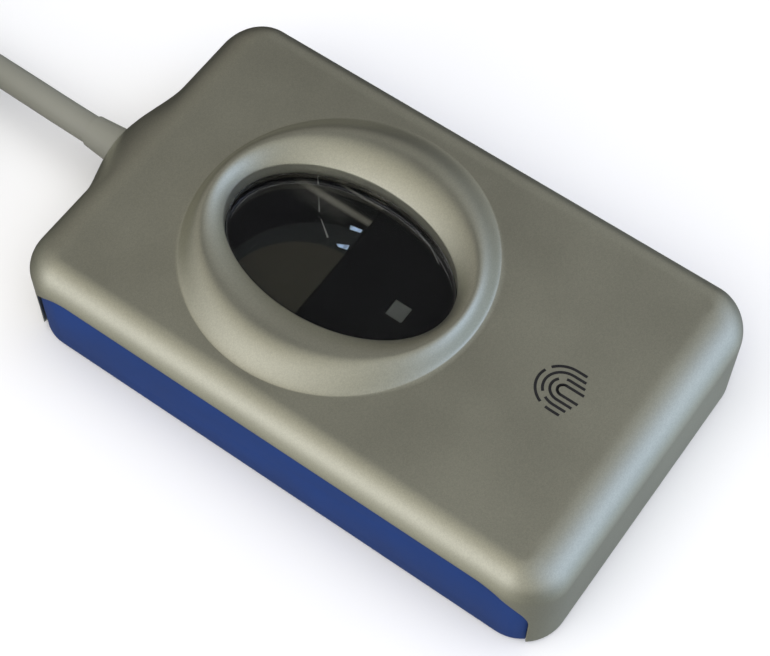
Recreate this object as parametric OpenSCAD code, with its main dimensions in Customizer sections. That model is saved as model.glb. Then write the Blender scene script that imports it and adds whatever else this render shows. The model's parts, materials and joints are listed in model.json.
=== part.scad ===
// Fingerprint scanner terminal: a palm-sized optical reader on a cord with a plug.
// Units are millimetres. +Z is up and +Y points to the cord's exit.
// The origin lies on the desk, under the middle of the body.

/* [Body] */
// Width across the long sides
body_w = 49; // [47:0.5:60]
// Length from front to back, without the cord boss
body_l = 79; // [77:0.5:100]
// Height of the flat top above the desk
body_h = 16.6; // [16.2:0.1:20]
// Radius of the four corners seen from above
corner_r = 6; // [5:0.5:8]
// Rounding along the top edge
edge_r = 4; // [2.5:0.5:5]
// Wall thickness of the top shell
wall = 2; // [1.6:0.1:2.4]
// Gap between the desk and the shell's lower edge
shell_lift = 0.6; // [0.4:0.1:1]

/* [Finger ring] */
// Outer radius of the raised ring
ring_r = 19.9; // [18.5:0.1:20]
// Height of the ring's crest above the flat top
ring_h = 2.4; // [1.4:0.1:3.5]
// Height of the ring's inner rim above the flat top
rim_h = 0.4; // [0.2:0.1:1]
// Distance of the ring's middle behind the body's middle
ring_y = 6.7; // [4:0.1:7]
// Half width of the oval window
window_rx = 10.4; // [8.5:0.1:11]
// Half length of the oval window
window_ry = 16; // [13:0.1:16.5]
// Depth of the glass below the rim
glass_drop = 1.5; // [1:0.1:2]

/* [Side panels] */
// Height of the side openings above the desk
notch_h = 12.9; // [10:0.1:13.5]
// Distance from each end of the body to a side opening
notch_end = 2.3; // [2:0.1:6]
// Rounding of the upper corners of a side opening
notch_r = 7; // [3:0.5:8]
// Depth of the coloured panel behind the shell's surface
panel_inset = 0.5; // [0.2:0.1:1]
// Thickness of the wall that carries the panel
panel_wall = 2; // [1.4:0.1:2.5]

/* [Base] */
// Gap between the desk and the tray
tray_lift = 0.4; // [0.2:0.1:0.6]
// Thickness of the tray's floor
floor_t = 2; // [1.6:0.1:2.6]
// Thickness of the rubber pad
pad_t = 1; // [0.8:0.1:1.4]
// Distance from the pad's edge to the body's side
pad_margin = 4.5; // [3.5:0.5:8]
// Thickness of the ballast plate
ballast_t = 2; // [1:0.1:2.2]
// Length of the blank label
label_l = 16; // [10:1:18]
// Width of the blank label
label_w = 30; // [16:1:34]

/* [Optics] */
// Thickness of the gasket under the shell
gasket_t = 0.6; // [0.4:0.1:1]
// Thickness of the glass block's flange
flange_t = 0.7; // [0.5:0.1:1.2]
// Width of the flange round the window
flange_w = 1.4; // [1:0.1:2]
// Thickness of the black mask
mask_t = 0.8; // [0.5:0.1:1]
// Distance of the mask's straight edge behind the body's middle
mask_edge = 6.8; // [4:0.1:8]
// Side of the square hole in the mask
aperture = 2.5; // [1.5:0.1:3]
// Height of the lens axis above the desk
lens_z = 9.6; // [9.4:0.1:9.8]
// Outer radius of the lens barrel
barrel_r = 2.2; // [1.8:0.1:2.3]
// Radius of the lens
lens_r = 1.6; // [1:0.1:1.7]
// Thickness of the light diffuser
diffuser_t = 0.4; // [0.3:0.1:0.6]

/* [Electronics] */
// Thickness of the circuit board
board_t = 1.2; // [0.8:0.1:1.6]
// Height of the board's underside above the desk
board_z = 5.6; // [5.4:0.1:6]
// Gap between the board and the ends of the body
board_end = 5.5; // [5:0.5:9]
// Side of the controller chip
chip_l = 10; // [6:0.5:11]
// Number of indicator and lighting lamps
led_count = 4; // [2:1:5]
// Number of capacitors in a row
cap_count = 5; // [2:1:6]
// Number of resistors in a row
res_count = 6; // [2:1:8]

/* [Fasteners] */
// Radius of a case screw's shank
case_screw_r = 1.1; // [1:0.05:1.4]
// Radius of a case screw's head
case_head_r = 2.1; // [1.8:0.1:2.3]
// Radius of a frame screw's shank
frame_screw_r = 0.9; // [0.8:0.05:1]
// Distance from the body's side to a case screw
post_in = 7; // [7:0.5:9]

/* [Cord] */
// Diameter of the cord
cord_d = 4; // [3.2:0.1:4.6]
// Height of the cord's exit above the desk
cord_z = 8.5; // [8:0.1:9]
// Length of the boss round the exit
boss_l = 3.4; // [2:0.1:6]
// Radius of the boss where it meets the wall
boss_r = 7.6; // [5:0.1:7.8]
// Turns that lie side by side in the coil
coil_across = 4; // [2:1:5]
// Layers of turns in the coil
coil_layers = 3; // [2:1:4]
// Width of the tie, as an angle of the coil
tie_angle = 16; // [8:1:30]
// Thickness of the tie
tie_t = 0.8; // [0.5:0.1:1.2]

/* [Plug] */
// Width of the plug's grip
grip_w = 16; // [13:0.5:18]
// Height of the plug's grip
grip_h = 8; // [6:0.5:9]
// Length of the plug's grip
grip_l = 20; // [14:1:26]
// Width of the plug's metal shell
usb_w = 12; // [11.5:0.1:12.5]
// Height of the plug's metal shell
usb_h = 4.5; // [4.3:0.1:4.7]
// Length of the plug's metal shell
usb_l = 12; // [11:0.5:13]
// Thickness of the plug's metal shell
usb_t = 0.3; // [0.2:0.05:0.4]

/* [Fits] */
// Gap round the coloured panels
panel_gap = 0.25; // [0.1:0.05:0.5]
// Gap between the glass block and the window
glass_gap = 0.15; // [0.05:0.05:0.3]
// Gap between a screw's thread and its pilot hole
thread_gap = 0.02; // [0.01:0.01:0.05]
// Gap between a screw's shank and a plain hole
shank_gap = 0.2; // [0.1:0.05:0.4]
// Gap between pieces that slide together
slip = 0.1; // [0.05:0.05:0.2]

/* [Hidden] */
$fn = 48;
eps = 0.01;
side = [-1, 1];
end_y = body_l / 2;
half_w = body_w / 2;
shell_under = body_h - wall;
in_w = body_w - 2 * wall;
in_l = body_l - 2 * wall;
in_r = corner_r - wall;
in_edge = max(edge_r - wall, 0.5);
tray_top = tray_lift + floor_t;
board_top = board_z + board_t;
board_w = body_w - 10;
board_l = body_l - 2 * board_end;
glass_top = body_h + rim_h - glass_drop;
flange_top = shell_under - gasket_t;
frame_top = flange_top - flange_t;
frame_in = 0.4;
frame_wall = 2;
mask_z = frame_top - mask_t;
brim = 0.6;
aperture_x = -1.4;
aperture_y = -3.2;
post_x = half_w - post_in;
post_y = end_y - 8.5;
post_r = case_head_r + 1.2;
head_h = 1.3;
head_top = pad_t + 1.6;
boss_post_r = post_in - wall - slip - panel_wall - 0.3;
ear_x = window_rx + 4.3;
ear_r = 2.2;
ear_h = 4;
cord_r = cord_d / 2;
neck_r = cord_r + 0.6;
boss_end = end_y + boss_l;
jacket_end = end_y - 6;
header_y = end_y - 13.5;
coil_r = 5.5 * cord_d;
coil_in = coil_r - coil_across * cord_r;
coil_out = coil_r + coil_across * cord_r;
coil_h = coil_layers * cord_d;
coil_x = 3 - coil_r - (coil_across / 2 - 0.5) * cord_d;
coil_y = end_y + 54.5;
tie_at = 150;
plug_x = coil_r - 9;
plug_z = coil_h + grip_h / 2;
plug_y = -7;
relief_l = 7;

// Fall of the cord: sideways, away from the wall, and share of the exit height
RUN = [[0, -6, 1], [0, -2, 1], [0, 4, 1], [0, 9, 1], [0.1, 14, 0.98], [0.3, 19, 0.94],
    [0.6, 24, 0.86], [1, 29, 0.74], [1.5, 34, 0.55], [2, 39, 0.33], [2.6, 44, 0.13],
    [2.9, 47.5, 0.04]];
run_route = [for (p = RUN) [p[0], end_y + p[1], cord_r + (cord_z - cord_r) * p[2]]];

// Free end of the cord, seen from the coil's middle: across, along and height over it
TAIL = [[-9, -24.4, -2], [-2, -26, -0.5], [5, -25.5, 1.5], [10, -22, 3.2], [12.6, -17.5, 4],
    [13, -14, 4], [13, -10, 4], [13, -7, 4]];
tail_route = [for (p = TAIL) [coil_x + p[0], coil_y + p[1], coil_h + p[2]]];

function bend(a, b, c, d, t) = 0.5 * (2 * b + (c - a) * t + (2 * a - 5 * b + 4 * c - d) * t * t
    + (3 * b - a - 3 * c + d) * t * t * t);
function smooth(p, n) = let (k = len(p) - 1)
    [for (i = [0:k - 1], j = [0:n - 1])
        bend(p[max(i - 1, 0)], p[i], p[i + 1], p[min(i + 2, k)], j / n), p[k]];
function unit(v) = v / norm(v);
function heading(p, i) = unit(p[min(i + 1, len(p) - 1)] - p[max(i - 1, 0)]);
function ring_points(p, i, r, s) = let (t = heading(p, i), u = unit(cross(t, [0, 0, 1])),
    v = cross(u, t)) [for (k = [0:s - 1]) p[i] + r * (cos(360 * k / s) * u
    + sin(360 * k / s) * v)];

// Height of the finger ring's surface, from its outer edge at 0 to its rim at 1
crest = 0.52;
function swell(t) = t < crest ? ring_h * pow(sin(90 * t / crest), 1.3)
    : rim_h + (ring_h - rim_h) * pow(cos(90 * (t - crest) / (1 - crest)), 0.9);
ring_n = 72;
ring_m = 10;
ring_sink = 1;
ring_xy = function (a, t) [((1 - t) * ring_r + t * window_rx) * cos(a),
    ((1 - t) * ring_r + t * window_ry) * sin(a)];

// ---- shared shapes ----

module corner_profile(r, h, e) {
    square([r, h - e]);
    square([r - e, h]);
    translate([r - e, h - e])
        intersection() {
            circle(e);
            square(e);
        }
}

// Box with rounded corners and a rounded top edge
module slab(w, l, z0, z1, r, e) {
    hull()
        for (sx = side, sy = side)
            translate([sx * (w / 2 - r), sy * (l / 2 - r), z0])
                rotate_extrude()
                    corner_profile(r, z1 - z0, e);
}

// Flat plate with rounded corners
module plate(w, l, z0, t, r) {
    translate([0, 0, z0])
        linear_extrude(t)
            rounded(w, l, r);
}

module rounded(w, l, r) {
    square([w - 2 * r, l], center = true);
    square([w, l - 2 * r], center = true);
    for (sx = side, sy = side)
        translate([sx * (w / 2 - r), sy * (l / 2 - r)])
            circle(r);
}

module oval_2d(grow) {
    rx = window_rx + grow;
    ry = window_ry + grow;
    polygon([for (a = [0:5:355]) [rx * cos(a), ry * sin(a)]]);
}

// Upright oval of the window's shape, larger all round by grow
module oval(grow, z0, z1) {
    translate([0, ring_y, z0])
        linear_extrude(z1 - z0)
            oval_2d(grow);
}

// Box given by its middle in plan, its lower face and its size
module block(x, y, z0, size) {
    translate([x - size[0] / 2, y - size[1] / 2, z0])
        cube(size);
}

// Cylinder that points along +Y, from y0 to y1
module along_y(x, y0, y1, z, r1, r2) {
    translate([x, y0, z])
        rotate([-90, 0, 0])
            cylinder(h = y1 - y0, r1 = r1, r2 = r2);
}

// Straight rod between two points
module rod(p, q, r) {
    d = q - p;
    translate(p)
        rotate([0, acos(d[2] / norm(d)), atan2(d[1], d[0])])
            cylinder(h = norm(d), r = r, $fn = 16);
}

// Tube of radius r along a route
module tube(route, r, s, n) {
    p = smooth(route, n);
    k = len(p);
    polyhedron(
        points = [for (i = [0:k - 1]) each ring_points(p, i, r, s)],
        faces = [[for (j = [0:s - 1]) j],
            for (i = [0:k - 2], j = [0:s - 1]) [i * s + j, (i + 1) * s + j,
                i * s + (j + 1) % s],
            for (i = [0:k - 2], j = [0:s - 1]) [(i + 1) * s + j,
                (i + 1) * s + (j + 1) % s, i * s + (j + 1) % s],
            [for (j = [0:s - 1]) k * s - 1 - j]]);
}

// ---- case ----

// Arched side opening, smaller all round by gap, from the middle out through one side
module notch(s, gap) {
    hl = end_y - notch_end - gap;
    top = notch_h - gap;
    r = notch_r - gap;
    translate([s * half_w / 2 + s * 8, 0, 0])
        rotate([90, 0, 90])
            translate([0, 0, -half_w / 2])
                linear_extrude(half_w) {
                    translate([r - hl, -1])
                        square([2 * (hl - r), top + 1]);
                    translate([-hl, -1])
                        square([2 * hl, top - r + 1]);
                    for (e = side)
                        translate([e * (hl - r), top - r])
                            circle(r);
                }
}

module finger_ring() {
    m = ring_m + 2;
    low = body_h - ring_sink;
    translate([0, ring_y, 0])
        polyhedron(
            points = [for (i = [0:ring_n - 1]) let (a = 360 * i / ring_n) each [
                [each ring_xy(a, 0), low],
                for (j = [0:ring_m]) [each ring_xy(a, j / ring_m),
                    body_h + swell(j / ring_m)],
                [each ring_xy(a, 1), low]]],
            faces = [for (i = [0:ring_n - 1], j = [0:m])
                let (n = m + 1, a = i * n, b = ((i + 1) % ring_n) * n, k = (j + 1) % n)
                if (j < n) each [[a + j, a + k, b + j], [b + j, a + k, b + k]]]);
}

// Flared boss round the cord's exit
module cord_boss() {
    y0 = wall;
    span = boss_l + y0;
    tip = neck_r + 1.1;
    translate([0, end_y - y0, cord_z])
        rotate([-90, 0, 0])
            rotate_extrude()
                polygon([[0, 0], [boss_r, 0],
                    for (t = [0:0.1:1]) [tip + (boss_r - tip) * pow(1 - t, 2.2),
                        y0 + boss_l * t * 0.92],
                    [tip - 0.5, span], [0, span]]);
}

module top_shell() {
    color([0.62, 0.61, 0.57])
        union() {
            difference() {
                union() {
                    slab(body_w, body_l, shell_lift, body_h, corner_r, edge_r);
                    finger_ring();
                    cord_boss();
                }
                slab(in_w, in_l, shell_lift - 1, shell_under, in_r, in_edge);
                oval(0, shell_under - 1, body_h + ring_h + 1);
                for (s = side)
                    notch(s, 0);
                along_y(0, end_y - wall - 1, boss_end + 1, cord_z, neck_r, neck_r);
            }
            for (sx = side, sy = side)
                translate([sx * post_x, sy * post_y, board_top])
                    difference() {
                        cylinder(h = body_h - wall / 2 - board_top, r = boss_post_r);
                        translate([0, 0, -1])
                            cylinder(h = shell_under - board_top - 1,
                                r = case_screw_r + thread_gap);
                    }
        }
}

module base_tray() {
    lip = 1.2;
    back = wall + slip;
    rim = back + 0.15;
    color([0.07, 0.17, 0.45])
        difference() {
            union() {
                plate(body_w - 2 * back, body_l - 2 * back, tray_lift, floor_t,
                    corner_r - back);
                difference() {
                    union() {
                        for (s = side) {
                            intersection() {
                                plate(body_w - 2 * panel_inset, body_l - 2 * panel_inset,
                                    tray_lift, body_h, corner_r - panel_inset);
                                notch(s, panel_gap);
                            }
                            intersection() {
                                plate(body_w - 2 * rim, body_l - 2 * rim, tray_lift,
                                    notch_h + 0.3 - tray_lift, corner_r - rim);
                                block(s * (half_w - 3), 0, 0,
                                    [6, body_l - 2 * (notch_end - lip), body_h]);
                            }
                        }
                    }
                    plate(body_w - 2 * (back + panel_wall), body_l - 2 * (back + panel_wall),
                        tray_top, body_h, 1.8);
                }
                for (sx = side, sy = side)
                    translate([sx * post_x, sy * post_y, tray_lift])
                        cylinder(h = board_z - tray_lift, r = post_r);
                for (sy = side)
                    translate([0, sy * 22, tray_lift])
                        cylinder(h = floor_t + ballast_t - 0.4, r = 1.5);
            }
            plate(body_w - 2 * pad_margin, body_l - 2 * pad_margin, -1, pad_t + 1, 4);
            for (sx = side, sy = side)
                translate([sx * post_x, sy * post_y, 0]) {
                    cylinder(h = board_z + 1, r = case_screw_r + shank_gap);
                    cylinder(h = head_top, r = case_head_r + shank_gap);
                }
        }
}

module foot_pad() {
    edge = slip;
    color([0.08, 0.08, 0.09])
        difference() {
            plate(body_w - 2 * (pad_margin + edge), body_l - 2 * (pad_margin + edge), 0,
                pad_t, 4 - edge);
            plate_at(0, 20, label_w + 2, label_l + 2, -1, pad_t + 2, 1.5);
        }
}

module plate_at(x, y, w, l, z0, t, r) {
    translate([x, y, 0])
        plate(w, l, z0, t, r);
}

module rating_label() {
    color([0.75, 0.76, 0.77])
        plate_at(0, 20, label_w, label_l, pad_t - 0.3, 0.3, 1);
}

module ballast_plate() {
    color([0.5, 0.51, 0.53])
        difference() {
            plate(2 * (post_x - post_r) - 1.6, body_l - 19, tray_top, ballast_t, 2);
            for (sy = side)
                translate([0, sy * 22, 0])
                    cylinder(h = board_z, r = 1.5 + slip);
        }
}

module screw(r, l, head_r, head, slot) {
    difference() {
        union() {
            translate([0, 0, -head])
                cylinder(h = head, r = head_r);
            cylinder(h = l, r = r);
        }
        for (a = [0, 90])
            rotate([0, 0, a])
                translate([-slot, -0.25, -head - 1])
                    cube([2 * slot, 0.5, 1.6]);
    }
}

module case_screws() {
    color([0.7, 0.7, 0.72])
        for (sx = side, sy = side)
            translate([sx * post_x, sy * post_y, head_top])
                screw(case_screw_r, 9, case_head_r, head_h, 1.3);
}

module frame_screws() {
    color([0.7, 0.7, 0.72])
        for (sx = side)
            translate([sx * ear_x, ring_y, board_z])
                screw(frame_screw_r, board_t + ear_h - 1.4, 1.7, 0.9, 1);
}

// ---- optics ----

module glass_block() {
    back_y = ring_y + window_ry - 2.9;
    color([0.75, 0.8, 0.82, 0.4])
        union() {
            oval(-glass_gap, frame_top, glass_top);
            oval(flange_w, frame_top, flange_top);
            intersection() {
                oval(-glass_gap, board_top, frame_top);
                translate([-half_w, 0, 0])
                    rotate([90, 0, 90])
                        linear_extrude(body_w)
                            polygon([[mask_edge, frame_top], [back_y, frame_top],
                                [back_y, slope_z1], [mask_edge + 3, slope_z0],
                                [mask_edge, slope_z0]]);
            }
        }
}

slope_z0 = board_top + 1.1;
slope_z1 = frame_top - 2.3;

module window_gasket() {
    color([0.05, 0.05, 0.05])
        difference() {
            oval(flange_w, flange_top, shell_under);
            oval(0, flange_top - 1, shell_under + 1);
        }
}

module optics_frame() {
    color([0.04, 0.04, 0.045])
        difference() {
            union() {
                oval(frame_in + frame_wall, board_top, frame_top);
                for (sx = side)
                    translate([sx * ear_x, ring_y, board_top])
                        cylinder(h = ear_h, r = ear_r);
            }
            oval(frame_in, board_top - 1, frame_top + 1);
            for (sx = side)
                translate([sx * ear_x, ring_y, board_top - 1])
                    cylinder(h = ear_h, r = frame_screw_r + thread_gap);
        }
}

module light_mask() {
    deep = window_ry * 2;
    color([0.02, 0.02, 0.02])
        difference() {
            oval(frame_in - slip, mask_z, frame_top);
            block(0, mask_edge + deep / 2, 0, [body_w, deep, body_h]);
            block(aperture_x, aperture_y, 0, [aperture, aperture, body_h]);
        }
}

module finger_sensor() {
    color([0.72, 0.73, 0.72])
        union() {
            block(aperture_x, aperture_y, mask_z - brim,
                [aperture + 0.7, aperture + 0.7, brim]);
            block(aperture_x, aperture_y, mask_z - brim,
                [aperture - slip, aperture - slip, brim + mask_t - 0.2]);
        }
}

module led_diffuser() {
    back_y = ring_y + window_ry - 2.9;
    front_y = mask_edge + 3;
    d = unit([back_y - front_y, slope_z1 - slope_z0]);
    n = [d[1], -d[0]] * diffuser_t;
    a = [front_y, slope_z0];
    b = [back_y, slope_z1];
    wide = 9;
    color([0.9, 0.9, 0.86])
        translate([-wide / 2, 0, 0])
            rotate([90, 0, 90])
                linear_extrude(wide)
                    polygon([a, b, b + n, a + n]);
}

module leds() {
    pitch = 3;
    color([0.95, 0.85, 0.7])
        for (i = [0:led_count - 1])
            block((i - (led_count - 1) / 2) * pitch, mask_edge + 9, board_top,
                [1.6, 2.8, 0.8]);
}

module lens_barrel() {
    // clear of the finger sensor, which comes lower as the shell gets thicker
    y0 = aperture_y + aperture / 2 + 0.5;
    y1 = mask_edge - 2.4;
    color([0.06, 0.06, 0.07])
        difference() {
            union() {
                along_y(0, y0, y1, lens_z, barrel_r, barrel_r);
                block(0, (y0 + y1) / 2, board_top,
                    [2 * barrel_r, y1 - y0, lens_z - board_top]);
            }
            along_y(0, y0 - 1, y1 + 1, lens_z, lens_r, lens_r);
        }
}

module lens() {
    y1 = mask_edge - 2.9;
    color([0.6, 0.7, 0.85, 0.5])
        along_y(0, y1 - 1.6, y1, lens_z, lens_r, lens_r);
}

module image_sensor() {
    t = 1;
    color([0.1, 0.1, 0.12])
        block(0, aperture_y + 0.3 - t / 2, board_top + 0.5, [5, t, 4.2]);
}

module sensor_board() {
    t = 1;
    color([0.05, 0.3, 0.16])
        block(0, aperture_y - 0.7 - t / 2, board_top,
            [7, t, mask_z - brim - 0.3 - board_top]);
}

// ---- electronics ----

module main_board() {
    color([0.05, 0.3, 0.16])
        difference() {
            plate(board_w, board_l, board_z, board_t, 2);
            block(0, board_l / 2, 0, [cord_d + 1.5, 5, body_h]);
            for (sx = side, sy = side)
                translate([sx * post_x, sy * post_y, 0])
                    cylinder(h = body_h, r = case_screw_r + shank_gap);
            for (sx = side)
                translate([sx * ear_x, ring_y, 0])
                    cylinder(h = body_h, r = frame_screw_r + shank_gap);
        }
}

front_y = ring_y - window_ry - frame_in - frame_wall;

module controller_chip() {
    t = 1.2;
    color([0.06, 0.06, 0.07])
        block(-7, front_y - chip_l / 2 - 3, board_top, [chip_l, chip_l, t]);
}

module memory_chip() {
    color([0.07, 0.07, 0.08])
        block(6, front_y - 5, board_top, [6, 5, 1.2]);
}

module crystal() {
    r = 1.9;
    half = 2.6;
    color([0.75, 0.75, 0.76])
        translate([6, front_y - 12, board_top])
            linear_extrude(3) {
                square([2 * half, 2 * r], center = true);
                for (s = side)
                    translate([s * half, 0])
                        circle(r);
            }
}

module capacitors() {
    pitch = 2.6;
    color([0.62, 0.5, 0.36])
        for (i = [0:cap_count - 1])
            block(13, front_y - 2 - i * pitch, board_top, [2, 1.25, 0.9]);
}

module resistors() {
    pitch = 2.2;
    color([0.1, 0.1, 0.11])
        for (i = [0:res_count - 1])
            block((i - (res_count - 1) / 2) * pitch - 1, front_y - 16, board_top,
                [1.25, 2, 0.5]);
}

module cable_header() {
    l = 4;
    color([0.9, 0.89, 0.84])
        difference() {
            block(0, header_y + l / 2, board_top, [8.4, l, 3.6]);
            block(0, header_y + 1 + l / 2, board_top + 0.6, [7.2, l, 2.4]);
        }
}

module cable_plug() {
    l = 3.6;
    color([0.93, 0.92, 0.88])
        block(0, header_y + 1 + l / 2, board_top + 0.6, [7.2 - 2 * slip, l, 2.4 - 2 * slip]);
}

module inner_wires() {
    y0 = header_y + 4.6;
    z0 = board_top + 1.7;
    near = 0.75;
    color([0.7, 0.15, 0.12])
        for (i = [0:3])
            rod([(i - 1.5) * 1.6, y0, z0],
                [(i < 2 ? -near : near), jacket_end, cord_z + (i % 2 == 0 ? near : -near)],
                0.35);
}

// ---- cord ----

module strain_relief() {
    in_y = end_y - wall;
    tip = cord_r + 0.2;
    free = 4;
    color([0.68, 0.68, 0.65])
        difference() {
            union() {
                along_y(0, in_y - 2, in_y, cord_z, neck_r + 1.5, neck_r + 1.5);
                along_y(0, in_y - eps, boss_end, cord_z, neck_r - slip / 2,
                    neck_r - slip / 2);
                along_y(0, boss_end, boss_end + free, cord_z, neck_r - slip / 2, tip);
            }
            along_y(0, in_y - 3, boss_end + free + 1, cord_z, cord_r, cord_r);
        }
}

module cord_run() {
    color([0.72, 0.72, 0.68])
        tube(run_route, cord_r, 10, 1);
}

module cord_tail() {
    color([0.72, 0.72, 0.68])
        tube(tail_route, cord_r, 10, 1);
}

module at_coil() {
    translate([coil_x, coil_y, 0])
        children();
}

module cord_coil() {
    c = 1.4;
    color([0.7, 0.7, 0.66])
        at_coil()
            difference() {
                rotate_extrude($fn = 72)
                    polygon([[coil_in + c, 0], [coil_out - c, 0], [coil_out, c],
                        [coil_out, coil_h - c], [coil_out - c, coil_h],
                        [coil_in + c, coil_h], [coil_in, coil_h - c], [coil_in, c]]);
                rotate([0, 0, tie_at - tie_angle / 2 - 1])
                    rotate_extrude(angle = tie_angle + 2, $fn = 72)
                        translate([coil_in - 1, -1])
                            square([coil_out - coil_in + 2, tie_t + 1]);
            }
}

module cord_tie() {
    color([0.05, 0.05, 0.05])
        at_coil()
            rotate([0, 0, tie_at - tie_angle / 2])
                rotate_extrude(angle = tie_angle, $fn = 72)
                    difference() {
                        translate([coil_in - tie_t, 0])
                            square([coil_out - coil_in + 2 * tie_t, coil_h + tie_t]);
                        translate([coil_in, tie_t])
                            square([coil_out - coil_in, coil_h - tie_t]);
                    }
}

module at_plug() {
    translate([coil_x + plug_x, coil_y + plug_y, plug_z])
        children();
}

module usb_grip() {
    r = 2;
    color([0.7, 0.7, 0.66])
        at_plug()
            difference() {
                union() {
                    translate([0, grip_l, 0])
                        rotate([90, 0, 0])
                            linear_extrude(grip_l)
                                rounded(grip_w, grip_h, r);
                    along_y(0, -relief_l, 0, 0, cord_r + 0.5, cord_r + 1.6);
                }
                along_y(0, -relief_l - 1, 0, 0, cord_r, cord_r);
            }
}

module usb_shell() {
    color([0.78, 0.78, 0.8])
        at_plug()
            difference() {
                block(0, grip_l + usb_l / 2, -usb_h / 2, [usb_w, usb_l, usb_h]);
                block(0, grip_l + usb_l / 2, -usb_h / 2 + usb_t,
                    [usb_w - 2 * usb_t, usb_l + 2, usb_h - 2 * usb_t]);
                for (s = side)
                    block(s * usb_w / 5, grip_l + usb_l * 0.52, 0, [2.2, 2.4, usb_h]);
            }
}

tongue_t = 1.9;

module usb_tongue() {
    l = usb_l - 0.6;
    color([0.92, 0.92, 0.9])
        at_plug()
            block(0, grip_l + l / 2, -usb_h / 2 + usb_t, [usb_w - 2 * usb_t, l, tongue_t]);
}

module usb_contacts() {
    l = 8.6;
    color([0.85, 0.68, 0.25])
        at_plug()
            for (s = side, x = [1, 3.5])
                block(s * x, grip_l + 0.6 + l / 2, -usb_h / 2 + usb_t + tongue_t,
                    [1, l, 0.15]);
}

top_shell();
base_tray();
foot_pad();
rating_label();
ballast_plate();
case_screws();
glass_block();
window_gasket();
optics_frame();
light_mask();
finger_sensor();
led_diffuser();
leds();
lens_barrel();
lens();
image_sensor();
sensor_board();
main_board();
frame_screws();
controller_chip();
memory_chip();
crystal();
capacitors();
resistors();
cable_header();
cable_plug();
inner_wires();
strain_relief();
cord_run();
cord_coil();
cord_tie();
cord_tail();
usb_grip();
usb_shell();
usb_tongue();
usb_contacts();
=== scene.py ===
"""Looks of the fingerprint scanner terminal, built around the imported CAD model.

Sizes are written in millimetres and turned into metres as the pieces are made."""

import json
import math

import bmesh
import bpy
import numpy as np
from mathutils import Euler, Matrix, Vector


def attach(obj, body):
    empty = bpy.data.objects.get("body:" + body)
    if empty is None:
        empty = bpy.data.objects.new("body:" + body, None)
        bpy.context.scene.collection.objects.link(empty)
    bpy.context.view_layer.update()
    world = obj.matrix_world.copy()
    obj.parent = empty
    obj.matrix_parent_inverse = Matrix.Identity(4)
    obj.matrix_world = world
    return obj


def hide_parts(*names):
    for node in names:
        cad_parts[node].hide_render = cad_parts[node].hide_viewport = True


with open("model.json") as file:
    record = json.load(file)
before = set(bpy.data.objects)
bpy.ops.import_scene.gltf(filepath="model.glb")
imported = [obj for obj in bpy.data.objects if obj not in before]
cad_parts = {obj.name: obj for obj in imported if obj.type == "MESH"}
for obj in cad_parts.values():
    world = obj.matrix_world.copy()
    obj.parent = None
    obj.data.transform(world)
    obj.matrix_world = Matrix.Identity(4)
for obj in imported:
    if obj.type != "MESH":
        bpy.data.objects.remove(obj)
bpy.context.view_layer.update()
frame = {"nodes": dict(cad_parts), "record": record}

MM = 0.001
scene = bpy.context.scene

# ---- camera ----

camera_data = bpy.data.cameras.new("camera")
camera_data.sensor_width = 36
camera_data.lens = 92.16
camera_data.clip_start = 0.01
camera_data.clip_end = 20
camera = bpy.data.objects.new("camera", camera_data)
camera.location = (-0.09942, -0.06939, 0.22334)
camera.rotation_euler = Euler([math.radians(a) for a in (28.971, -0.367, -54.516)])
scene.collection.objects.link(camera)
scene.camera = camera

# ---- sizes shared with the CAD source, in millimetres ----

HALF_W, HALF_L = 24.5, 39.5
CORNER = 6.0
TOP, FLOOR_GAP, WALL = 16.6, 0.6, 2.0
RING_Y, RING_R, OVAL_X, OVAL_Y = 6.7, 19.9, 10.4, 16.0
RING_H, RIM_H, CREST = 2.4, 0.4, 0.52
ARCH_TOP, ARCH_END, ARCH_R = 12.9, 37.2, 7.0
CORD_Z, CORD_R = 8.5, 2.0
COIL = np.array([-25.0, 94.0])
COIL_R, PITCH = 28.0, 4.0
TIE_ANGLE, TIE_LIFT = 150, 0.8
ROUTE = [
    (0, 33.5, 8.5), (0, 37.5, 8.5), (0, 43.5, 8.5), (0, 48.5, 8.5), (0.1, 53.5, 8.37),
    (0.3, 58.5, 8.11), (0.6, 63.5, 7.59), (1, 68.5, 6.81), (1.5, 73.5, 5.575),
    (2, 78.5, 4.145), (2.6, 83.5, 2.845), (2.9, 87, 2.26),
]
TAIL = [
    (-27, 68, 13.9), (-20, 68.5, 14.6), (-15, 72, 15.5), (-12.4, 76.5, 16), (-12, 80, 16),
    (-12, 84, 16), (-12, 89, 16),
]


# ---- helpers ----


def link(name, data, material=None):
    piece = bpy.data.objects.new(name, data)
    scene.collection.objects.link(piece)
    if material:
        data.materials.append(material)
    return piece


def mesh_of(name, points, faces, smooth=True):
    mesh = bpy.data.meshes.new(name)
    mesh.from_pydata([tuple(float(c) * MM for c in p) for p in points], [], faces)
    mesh.validate()
    mesh.update()
    if smooth:
        mesh.shade_smooth()
    return mesh


def apply_modifiers(piece):
    dg = bpy.context.evaluated_depsgraph_get()
    mesh = bpy.data.meshes.new_from_object(piece.evaluated_get(dg))
    piece.modifiers.clear()
    piece.data = mesh
    return piece


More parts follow.
